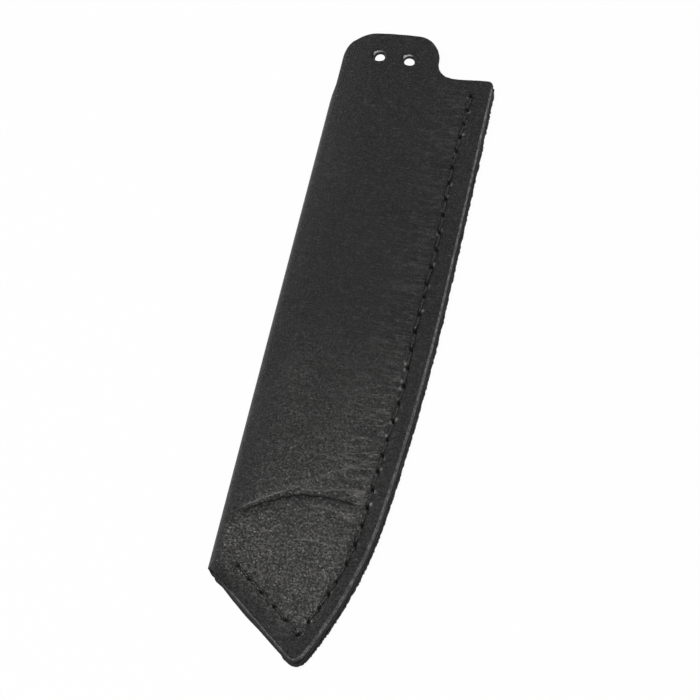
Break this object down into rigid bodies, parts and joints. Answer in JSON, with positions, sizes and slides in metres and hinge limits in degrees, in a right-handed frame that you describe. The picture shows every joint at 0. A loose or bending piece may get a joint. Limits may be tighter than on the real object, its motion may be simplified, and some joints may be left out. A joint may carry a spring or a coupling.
{
  "type": "knife blade guard",
  "caption": "Folded leather blade guard for a broad, angled-tip kitchen knife, saddle-stitched along the edge and tip, with an open mouth and a rounded tab with lace holes.",
  "frame": {"origin": "centre of the footprint, on the back panel's outer face", "axes": "+X across towards the stitched edge, +Y along the guard towards the mouth and the tab, +Z out of the front panel"},
  "size_m": [0.049, 0.2052, 0.0083],
  "materials": {
    "leather": "black vegetable-tanned leather, fine grain, satin sheen",
    "welt_leather": "black leather, fuzzy cut edge",
    "thread": "black waxed sewing thread, soft sheen"
  },
  "bodies": {
    "root": {"folded_leather": "leather", "edge_welt": "welt_leather", "saddle_thread": "thread"}
  },
  "joints": []
}
